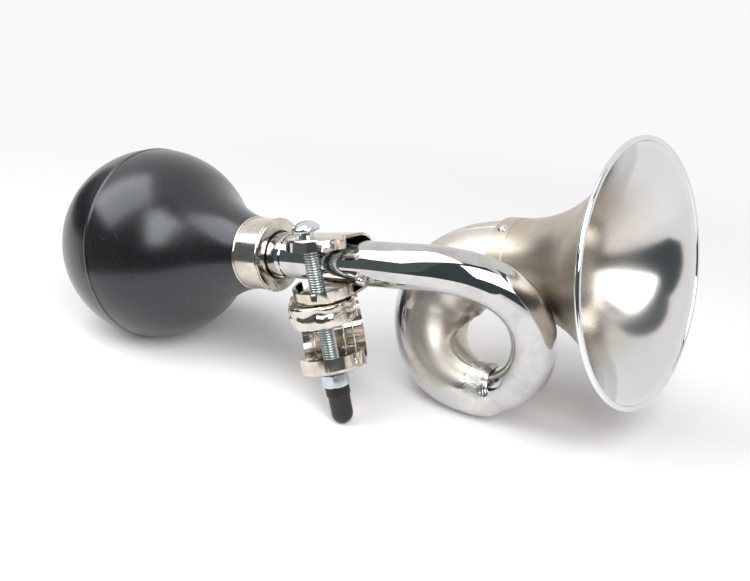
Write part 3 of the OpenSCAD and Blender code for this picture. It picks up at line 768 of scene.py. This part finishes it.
# Nickel plate over pressed steel: warm satin inside the loop, mirror bright round its outside.
loop_nickel = plate_buffed_and_groove_shaded("half_buffed_nickel_plate", "#d6d1c9", "#bfb8ad", 0.36, 0.08)
for name, side, node in (
    ("horn_half_near", -1, "loop_shell_near"),
    ("horn_half_far", 1, "loop_shell_far"),
):
    half = pressed_half(name, side)
    set_down(half, "horn", "nickel_satin", loop_nickel, node, crease=40)

# Braze
# Bronze run round the joint of tube and wide part and plated over with them. It stands in small
# lumps all round, with one run inside the eye, and feathers out on to both pieces.
BRAZE_TUBE_LEN = 6.4
BRAZE_HORN_LEN = 6.5
BRAZE_STEP = 0.2
BRAZE_SIDES = 144
BRAZE_COAT = 0.07
BRAZE_SINK = 0.08
BRAZE_LUMP = 0.11
LUMP_SCALE = 2.3
SINK_FROM_TUBE = 0.3
SINK_FROM_HORN = 0.1
BRAZE_DRIP = 0.4
DRIP_TURN = math.radians(-80)
DRIP_SPREAD = 0.3
DRIP_REACH = 0.6
DRIP_LEN = 1.3
FROST = 0.85
FROST_REACH = -0.8
FROST_LEN = 3.8

horn_step = sum((b - a).length for a, b in zip(horn_line, horn_line[1:])) / len(horn_line)


def along(line, distance):
    """Place and direction at a distance along a line."""
    for start, end in zip(line, line[1:]):
        step = (end - start).length
        if step and distance <= step:
            return start + (end - start) * distance / step, (end - start).normalized()
        distance -= step
    return line[-1], (line[-1] - line[-2]).normalized()


def fading(*shares):
    """One where every share is nothing, and less the farther any of them is from it."""
    return math.exp(-sum(share ** 2 for share in shares))


def braze_radius(reach, a, spot):
    """Radius of the braze at a distance from the joint, positive on the tube's side."""
    rough = 0.5 + 0.8 * noise.noise(spot) + 0.45 * noise.noise(spot * LUMP_SCALE)
    lump = BRAZE_LUMP * max(0.0, rough)
    drip = BRAZE_DRIP * fading((a - DRIP_TURN) / DRIP_SPREAD, (reach - DRIP_REACH) / DRIP_LEN)
    if reach > 0:
        share = reach / BRAZE_TUBE_LEN
        fillet = 1 - smooth(0, 1, share)
        sunk = (BRAZE_COAT + BRAZE_SINK) * smooth(SINK_FROM_TUBE, 1.0, share)
        return TUBE_R + BRAZE_COAT + (HORN_R[0] - TUBE_R) * fillet + lump * fillet - sunk + drip
    share = -reach / BRAZE_HORN_LEN
    sunk = (BRAZE_COAT + BRAZE_SINK) * smooth(SINK_FROM_HORN, 1.0, share)
    return horn_radius(-reach / horn_step) + BRAZE_COAT + lump * (1 - share) ** 0.7 - sunk + drip


tube_back = tube_line[-2::-1]
braze_middles = []
braze_rows = []
braze_buff = []
braze_steps = int((BRAZE_TUBE_LEN + BRAZE_HORN_LEN) / BRAZE_STEP)
for i in range(braze_steps + 1):
    reach = BRAZE_TUBE_LEN - i * BRAZE_STEP
    if reach > 0:
        place, way = along(tube_back, reach)
        way = -way
    else:
        place, way = along(horn_line, -reach)
    side = (SIDE_WAY - way * way.y).normalized()
    up = side.cross(way)
    row = []
    for k in range(BRAZE_SIDES + 1):
        a = math.tau * (k % BRAZE_SIDES) / BRAZE_SIDES
        a = a - math.tau if a > math.pi else a
        spoke = side * math.cos(a) + up * math.sin(a)
        row.append(place + spoke * braze_radius(reach, a, place + spoke * TUBE_R))
        braze_buff.append(1 - FROST * fading((reach - FROST_REACH) / FROST_LEN))
    braze_rows.append(row)
    braze_middles.append([place] * (BRAZE_SIDES + 1))
braze = woven("braze_fillet", braze_middles[:1] + braze_rows + braze_middles[-1:])
ends = [1.0] * (BRAZE_SIDES + 1)
record_buff_and_groove_shade(braze, ends + braze_buff + ends)
tidy_mesh(braze)

# Plated braze: frosted by fine pits at the joint, bright farther out where it was buffed.
braze_plate = plate_buffed_and_groove_shaded(
    "plated_braze", "#e0deda", "#b5aea3", 0.36, 0.2,
    bright_rough=0.14, pit=0.8, deep=0.22, pitted=0.9,
)
set_down(braze, "horn", "braze", braze_plate, "braze_ring", crease=80)

# Bell
# Spun steel, pushed over the wide part's end as a short socket band. The mouth's edge is rolled
# into a bead. It is satin nickel plate, buffed a little inside and more by the mouth and bead.
BELL_R = 40.85
BELL_LEN = 46
BELL_WALL = 0.7
BELL_FLARE = 2.7
RIM_BEAD_R = 0.9
BELL_THROAT_R = 14.84
BELL_STEPS = 56
BELL_SIDES = 192
RIM_RING = BELL_R - RIM_BEAD_R
RIM_BEAD_SEAT = 0.9
RIM_BEAD_FROM = 215
RIM_BEAD_SWEEP = 290
RIM_BEAD_STEPS = 20
BAND_RISE = 0.25
BAND_EDGE = 0.15
BAND_REAR_EDGE = 0.12
MOUTH_LEN = 3
THROAT_BUFF = 0.3
MOUTH_BUFF = 0.55
OUTSIDE_BUFF = 0.6


def bell_r_at(x):
    """Outer radius of the bell at a distance from its rear."""
    return BELL_THROAT_R + (RIM_RING - BELL_THROAT_R) * (x / BELL_LEN) ** BELL_FLARE


def bell_lean(x):
    """Angle at which the bell flares at a distance from its rear."""
    return math.atan(
        (RIM_RING - BELL_THROAT_R) * BELL_FLARE / BELL_LEN * (x / BELL_LEN) ** (BELL_FLARE - 1)
    )


flare_len = BELL_LEN - SOCKET_LEN - RIM_BEAD_R * RIM_BEAD_SEAT
stations = [SOCKET_LEN + flare_len * i / BELL_STEPS for i in range(BELL_STEPS + 1)]
bell_outside = [(x, bell_r_at(x)) for x in stations]
bead_turns = [
    math.radians(RIM_BEAD_FROM - RIM_BEAD_SWEEP * i / RIM_BEAD_STEPS) for i in range(RIM_BEAD_STEPS + 1)
]
bell_bead = [
    (BELL_LEN + RIM_BEAD_R * math.cos(a), RIM_RING + RIM_BEAD_R * math.sin(a)) for a in bead_turns
]
bell_inside = [
    (x + BELL_WALL * math.sin(bell_lean(x)), bell_r_at(x) - BELL_WALL * math.cos(bell_lean(x)))
    for x in stations[::-1]
]
band_r = BELL_THROAT_R + BAND_RISE
bell_band = [
    (0, band_r - BAND_REAR_EDGE), (BAND_REAR_EDGE, band_r),
    (SOCKET_LEN - BAND_EDGE, band_r), (SOCKET_LEN, band_r - BAND_EDGE),
]
bell_end = [(0, BELL_THROAT_R - BELL_WALL), (0, band_r - BAND_REAR_EDGE)]
bell = lathe("bell", bell_band + bell_outside + bell_bead + bell_inside + bell_end, BELL_SIDES)
bell_place = Matrix.Translation(SOCKET * MM) @ bell_turn
bell_buff = []
for vertex in bell.data.vertices:
    x = vertex.co.x / MM
    r = math.hypot(vertex.co.y, vertex.co.z) / MM
    if x > BELL_LEN - RIM_BEAD_R:
        bell_buff.append(1.0)
    elif x > SOCKET_LEN and r < bell_r_at(x) - BELL_WALL * 0.4:
        bell_buff.append(THROAT_BUFF + MOUTH_BUFF * smooth(0.6, 0.95, x / BELL_LEN))
    else:
        bell_buff.append(OUTSIDE_BUFF * smooth(BELL_LEN - MOUTH_LEN, BELL_LEN - RIM_BEAD_R, x))
record_buff_and_groove_shade(bell, bell_buff)

# Nickel plate over spun steel: warm satin, nearly white where it was buffed.
satin_bell = plate_buffed_and_groove_shaded("half_buffed_spun_bell", "#c1b8ab", "#aea394", 0.32, 0.08, bright="#e0e1e1")
set_down(bell, "horn", "nickel_satin", satin_bell, "bell", place=bell_place, crease=30)

# Straps
# Two straps of nickel-plated steel strip. Each is bent round its bar and ends in half-round ears
# with turned lips. The handlebar strap's upper lip puckered as it was turned.
CLAMP_X = 78.4
CLAMP_REACH = 11
CLAMP_TURN = math.radians(2.8)
CLAMP_SKEW = math.radians(6)
STRAP_W = 20.5
STRAP_T = 0.8
TUBE_STRAP_R = 7.8
EAR_SET = 3.5
EAR_DROP = math.radians(4.7)
EAR_SQUEEZE = math.radians(6)
BAR_R = 11.1
BAR_BACK = 14.2
BAR_TURN = math.radians(36)
BAR_LIP = 6.6
FACE_GAP = 0.1
EAR_R = STRAP_W / 2
FLAT_WITHIN = math.radians(0.5)

# The skin over the puckered lip: its folds, its sharp crease and how it sits on the plate
LIP_SIDES = 120
LIP_ROWS = 14
LIP_TOP = 0.9
LIP_PAST = 0.35
LIP_END = 0.12
LIP_COAT = 0.12
LIP_COAT_LEAST = 0.05
LIP_LAP = 0.08
LIP_SEED = 3.0
FOLD_SCALE = 3.1
PUCKER = 0.7
CREASE = 0.6
CREASE_AT = 0.38
CREASE_WANDER = 0.16
CREASE_WIDE = 0.1

# The pressed ridges and the struck marks
GROOVE_PLACES = (-6.5, -3.2, 3.4, 6.6)
GROOVE_R = 0.38
GROOVE_END_R = 0.1
GROOVE_OUT = 0.12
GROOVE_TURN = 78
GROOVE_STEPS = 40
GROOVE_SIDES = 10
MARK_R = 1.05
MARK_RIDGE_R = 0.2
HIGH_MARK_TURN = math.radians(-30)
HIGH_MARK_DOWN = 3.6
LOW_MARK_TURN = math.radians(-38)
LOW_MARK_LEVEL = 2.6


def refined(node, name, bevel_mm, crease=30):
    """A merged copy of a frame piece with its sharp edges broken."""
    pick(frame["nodes"][node])
    bpy.ops.object.duplicate()
    piece = bpy.context.object
    piece.name = name
    piece.parent = None
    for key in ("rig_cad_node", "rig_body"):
        if key in piece:
            del piece[key]
    bpy.ops.object.mode_set(mode="EDIT")
    bpy.ops.mesh.select_all(action="SELECT")
    bpy.ops.mesh.remove_doubles(threshold=MERGE_MM * MM)
    bpy.ops.mesh.dissolve_limited(angle_limit=FLAT_WITHIN)
    bpy.ops.object.mode_set(mode="OBJECT")
    if bevel_mm:
        bevel = piece.modifiers.new("broken_edges", "BEVEL")
        bevel.width = bevel_mm * MM
        bevel.segments = 2
        bevel.limit_method = "ANGLE"
        bevel.angle_limit = math.radians(crease)
        bpy.ops.object.modifier_apply(modifier=bevel.name)
    piece.data.transform(RESTING.inverted())
    return piece


def joined_up(pieces):
    """Joins the later pieces into the first."""
    bpy.ops.object.select_all(action="DESELECT")
    for piece in pieces:
        piece.select_set(True)
    bpy.context.view_layer.objects.active = pieces[0]
    bpy.ops.object.join()
    return pieces[0]


on_screw = (
    Matrix.Translation((CLAMP_X * MM, 0, 0)) @ Matrix.Rotation(CLAMP_TURN, 4, "X")
    @ Matrix.Translation((0, -CLAMP_REACH * MM, 0)) @ Matrix.Rotation(-CLAMP_SKEW, 4, "Y")
)
ear_reach = CLAMP_REACH - EAR_SET + EAR_R
strap_low = (TUBE_STRAP_R + STRAP_T + ear_reach * math.sin(EAR_DROP)) / math.cos(EAR_DROP)
bar_out = BAR_R + STRAP_T
bar_mid = -strap_low - FACE_GAP - bar_out
on_bar = on_screw @ Matrix.Rotation(BAR_TURN, 4, "Z") @ Matrix.Translation((0, 0, bar_mid * MM))


def lip_skin(name, top, depth, seed):
    """A puckered skin over a half-round lip that hangs from the top, its edge wavy."""
    rows = []
    for k in range(LIP_SIDES + 1):
        a = math.pi + math.pi * k / LIP_SIDES
        ends = smooth(0, LIP_END, k / LIP_SIDES) * smooth(0, LIP_END, 1 - k / LIP_SIDES)
        wave = noise.noise(Vector((a * FOLD_SCALE, seed, 0)))
        wave += 0.5 * noise.noise(Vector((a * 7.3, seed, 4)))
        edge = depth + LIP_PAST + PUCKER * ends * wave
        crease_at = CREASE_AT + CREASE_WANDER * noise.noise(Vector((a * 2.3, seed + 7, 0)))
        levels = [LIP_TOP + (edge - LIP_TOP) * j / LIP_ROWS for j in range(LIP_ROWS + 1)]
        row = []
        for level in levels:
            share = level / depth
            fold = noise.noise(Vector((a * FOLD_SCALE, seed + 2, share * 1.3)))
            bulge = PUCKER * (0.7 + 0.8 * fold) * math.sin(math.pi * min(1, share)) ** 0.6
            crease = CREASE * fading((share - crease_at) / CREASE_WIDE)
            swell = LIP_COAT + ends * (bulge - crease)
            row.append((EAR_R + max(LIP_COAT_LEAST, swell), level))
        inner = EAR_R - STRAP_T - LIP_LAP
        row += [(inner, levels[-1]), (inner, levels[0]), row[0]]
        rows.append([
            Vector((r * math.cos(a), EAR_SET + r * math.sin(a), top - level)) for r, level in row
        ])
    piece = woven(name, rows)
    bpy.ops.object.mode_set(mode="EDIT")
    bpy.ops.mesh.select_all(action="SELECT")
    bpy.ops.mesh.remove_doubles(threshold=MERGE_MM * MM)
    bpy.ops.mesh.select_all(action="DESELECT")
    bpy.ops.mesh.select_non_manifold()
    bpy.ops.mesh.edge_face_add()
    bpy.ops.object.mode_set(mode="OBJECT")
    tidy_mesh(piece)
    return piece


def back_groove(name, x):
    """A fine pressed ridge round the inside of the handlebar strap's back."""
    turns = [
        math.radians(-GROOVE_TURN + 2 * GROOVE_TURN * k / GROOVE_STEPS) for k in range(GROOVE_STEPS + 1)
    ]
    out = BAR_R + GROOVE_OUT
    line = [Vector((x, BAR_BACK + out * math.cos(a), out * math.sin(a))) for a in turns]
    radii = [GROOVE_END_R] + [GROOVE_R] * (GROOVE_STEPS - 1) + [GROOVE_END_R]
    return pipe(name, line, radii, GROOVE_SIDES, square=AHEAD_WAY)


def punch_mark(name, a, level):
    """A small round mark struck in a lip."""
    bpy.ops.object.select_all(action="DESELECT")
    bpy.ops.mesh.primitive_torus_add(
        major_radius=MARK_R * MM, minor_radius=MARK_RIDGE_R * MM, major_segments=32, minor_segments=8
    )
    mark = bpy.context.object
    mark.name = name
    mark.data.transform(
        Matrix.Translation(Vector((EAR_R * math.cos(a), EAR_SET + EAR_R * math.sin(a), level)) * MM)
        @ Matrix.Rotation(a, 4, "Z") @ Matrix.Rotation(math.pi / 2, 4, "Y")
    )
    return mark


upper = refined("tube_strap", "tube_strap_plate", 0.1)
set_down(upper, "upper_strap", "nickel_bright", nickel, "tube_strap")

low_ear = (
    Matrix.Translation((0, BAR_BACK * MM, 0)) @ Matrix.Rotation(-EAR_SQUEEZE, 4, "X")
    @ Matrix.Translation((0, -BAR_BACK * MM, -bar_out * MM))
)
lip = lip_skin("puckered_lip", bar_out, BAR_LIP, LIP_SEED)
low_mark = punch_mark("low_mark", LOW_MARK_TURN, LOW_MARK_LEVEL)
low_mark.data.transform(low_ear)
high_mark = punch_mark("high_mark", HIGH_MARK_TURN, bar_out - HIGH_MARK_DOWN)
extras = [lip, high_mark, low_mark]
extras += [back_groove("groove_%d" % k, x) for k, x in enumerate(GROOVE_PLACES)]
for piece in extras:
    piece.data.transform(on_bar)
lower = joined_up([refined("handlebar_strap", "handlebar_strap_plate", 0.12)] + extras)
set_down(lower, "lower_strap", "nickel_bright", nickel, "handlebar_strap", crease=42)

# Screw and nut
# A long M5 machine screw with a slotted pan head, and its nut. Both are bright zinc plated, which
# is cooler and duller than the straps, and the thread's grooves are painted grey as painted shade.
HEAD_R = 4.4
HEAD_H = 3.1
HEAD_BASE = 12.12
HEAD_EDGE = 0.5
HEAD_EDGE_LOW = 0.15
HEAD_SIDES = 64
HEAD_BUFF = 0.8
DOME_FLATTER = 1.2
DOME_STEPS = 12
SCREW_R = 2.5
SCREW_END = -45.3
POINT_IN = 0.55
POINT_LEN = 0.8
THREAD_PITCH = 0.8
THREAD_DEPTH = 0.5
THREAD_STEEP = 1.25
THREAD_TOP = 8.5
SHANK_IN_HEAD = 0.4
SLOT_W = 1.1
SLOT_DEEP = 1.3
SLOT_TURN = math.radians(-51)
THREAD_SIDES = 36
THREAD_STEP = 0.1

# Bright zinc plate on steel: cool and a little matt.
zinc = plated("bright_zinc_plate", "#c3ced3", "#a9b6ba", 0.2, 0.15, 0.8, 0.08)
x_to_screw = on_screw @ Matrix.Rotation(-math.pi / 2, 4, "Y")


def groove_depth(x, turn):
    """Depth of the thread's groove, from nothing to its full depth, at a place on the shank."""
    share = (x / THREAD_PITCH + turn) % 1.0
    tooth = 1 - abs(2 * share - 1)
    return (1 - min(1.0, THREAD_STEEP * tooth)) * smooth(0, 1.0, THREAD_TOP - x)


# Each place's share out of the painted shade that darkens the thread's grooves: one on the crests, nothing
# deep in a groove.
unshaded_crests = [1] * (THREAD_SIDES + 1)
rows = [[Vector((SCREW_END, 0, 0))] * (THREAD_SIDES + 1)]
thread_steps = int((HEAD_BASE + SHANK_IN_HEAD - SCREW_END) / THREAD_STEP)
for i in range(thread_steps + 1):
    x = SCREW_END + i * THREAD_STEP
    point = POINT_IN * (1 - smooth(0, POINT_LEN, x - SCREW_END))
    row = []
    for k in range(THREAD_SIDES + 1):
        a = math.tau * (k % THREAD_SIDES) / THREAD_SIDES
        deep = groove_depth(x, (k % THREAD_SIDES) / THREAD_SIDES)
        unshaded_crests.append(1 - deep)
        r = SCREW_R - THREAD_DEPTH * deep - point
        row.append(Vector((x, r * math.cos(a), r * math.sin(a))))
    rows.append(row)
rows.append([Vector((SCREW_END + thread_steps * THREAD_STEP, 0, 0))] * (THREAD_SIDES + 1))
unshaded_crests += [1] * (THREAD_SIDES + 1)
thread = woven("screw_thread", rows)
record_buff_and_groove_shade(thread, unshaded_crests)
tidy_mesh(thread)

dome = (HEAD_R ** 2 + HEAD_H ** 2) / (2 * HEAD_H) + DOME_FLATTER
dome_turns = [math.asin(HEAD_R / dome) * (1 - i / DOME_STEPS) for i in range(DOME_STEPS + 1)]
head_side = [
    (HEAD_BASE, 0), (HEAD_BASE, HEAD_R - HEAD_EDGE),
    (HEAD_BASE + HEAD_EDGE_LOW, HEAD_R - HEAD_EDGE_LOW), (HEAD_BASE + HEAD_EDGE, HEAD_R),
]
head_top = [
    (HEAD_BASE + HEAD_H - dome + dome * math.cos(a), dome * math.sin(a)) for a in dome_turns
]
head = lathe("pan_head", head_side + head_top, HEAD_SIDES)
bpy.ops.object.select_all(action="DESELECT")
bpy.ops.mesh.primitive_cube_add(size=1)
slot_bar = bpy.context.object
slot_bar.data.transform(
    Matrix.Rotation(-SLOT_TURN, 4, "X") @ Matrix.Translation(((HEAD_BASE + HEAD_H) * MM, 0, 0))
    @ Matrix.Diagonal((2 * SLOT_DEEP * MM, SLOT_W * MM, 4 * HEAD_R * MM, 1))
)
cut = head.modifiers.new("driver_slot", "BOOLEAN")
cut.operation = "DIFFERENCE"
cut.object = slot_bar
pick(head)
bpy.ops.object.modifier_apply(modifier=cut.name)
bpy.data.objects.remove(slot_bar)
record_buff_and_groove_shade(head, [HEAD_BUFF] * len(head.data.vertices))
screw = joined_up([thread, head])

# The same plate on the screw, with painted shade in the thread's grooves: grey there, pale on its crests
# and the head.
screw_zinc_with_groove_shade = plate_buffed_and_groove_shaded(
    "zinc_thread_painted_groove_shade", "#8f9b9b", "#7d8989", 0.3, 0.1, bright_rough=0.16, bright="#dfe6e5"
)
set_down(screw, "screw", "zinc_plate", screw_zinc_with_groove_shade, "clamp_screw", place=x_to_screw, crease=50)

nut = refined("clamp_nut", "hexagon_nut", 0.15)
set_down(nut, "nut", "zinc_plate", zinc, "clamp_nut")

# Cap
# A soft moulded plastic cap pushed over the screw's end, with a ribbed collar to grip it by.
CAP_TOP = -37.25
CAP_END = -49.75
CAP_R = 3.8
CAP_TIP_R = 3.4
CAP_TIP_STEPS = 10
COLLAR_LEN = 3
COLLAR_RISE = 0.3
COLLAR_STEPS = 6
CAP_RIBS = 24
CAP_RIB_SIDES = 8
CAP_RIB_DEPTH = 0.22
CAP_BORE = SCREW_R + 0.05

# Flexible PVC, straight from the mould: even black with a low sheen.
soft_pvc, tree, shader = new_material("soft_black_pvc")
grain = spots(tree, 1 / (0.5 * MM), 2)
shader.inputs["Base Color"].default_value = linear("#151617")
gloss = ranged(tree, grain.outputs["Fac"], 0.36, 0.48)
tree.links.new(gloss.outputs[0], shader.inputs["Roughness"])

collar = CAP_TOP - COLLAR_LEN
tip_turns = [math.radians(90 * i / CAP_TIP_STEPS) for i in range(CAP_TIP_STEPS + 1)]

# Distance, radius and how deep the ribs are, from the closed tip up and down into the bore
cap_profile = (
    [(CAP_END + CAP_TIP_R - CAP_TIP_R * math.cos(a), CAP_TIP_R * math.sin(a), 0) for a in tip_turns]
    + [(collar - 0.5, CAP_R - 0.35, 0), (collar - 0.1, CAP_R - COLLAR_RISE, 0)]
    + [(collar, CAP_R - 0.05, 1), (collar + 0.2, CAP_R, 1)]
    + [(collar + COLLAR_LEN * k / COLLAR_STEPS, CAP_R, 1) for k in range(1, COLLAR_STEPS)]
    + [(CAP_TOP - 0.25, CAP_R, 1), (CAP_TOP, CAP_R - COLLAR_RISE, 0.4)]
    + [(CAP_TOP, CAP_BORE, 0), (SCREW_END, CAP_BORE, 0), (SCREW_END, 0, 0)]
)
cap_sides = CAP_RIBS * CAP_RIB_SIDES
turns = [math.tau * (k % cap_sides) / cap_sides for k in range(cap_sides + 1)]
rows = []
for x, r, ribbed in cap_profile:
    grooves = [r - ribbed * CAP_RIB_DEPTH * max(0.0, math.cos(CAP_RIBS * a)) ** 2 for a in turns]
    rows.append([Vector((x, g * math.cos(a), g * math.sin(a))) for g, a in zip(grooves, turns)])
cap = woven("ribbed_cap", rows)
tidy_mesh(cap)
set_down(cap, "cap", "cap_plastic", soft_pvc, "screw_cap", place=x_to_screw, crease=40)

# Rivets and stud
# Three domed rivets hold the bell's socket, and a small domed stud stops the strap's slide.
for node, name, finish, slot in (
    ("bell_rivets", "domed_rivets", nickel, "nickel_bright"),
    ("stop_stud", "domed_stud", chrome, "chrome_tube"),
):
    piece = refined(node, name, 0.0)
    set_down(piece, "horn", slot, finish, node, crease=40)

# Reed
# The parts inside the tube that sound the horn, of plain drawn and cast brass. Nothing of them
# shows until the bulb is off.

# Drawn brass, dulled by handling.
brass = plated("drawn_brass", "#c9a75c", "#a98746", 0.25, 0.15, 0.8, 0.08)
for node in ("reed_holder", "reed_block", "reed_tongue", "reed_wedge"):
    inside = frame["nodes"][node]
    inside.data.materials.clear()
    inside.data.materials.append(brass)
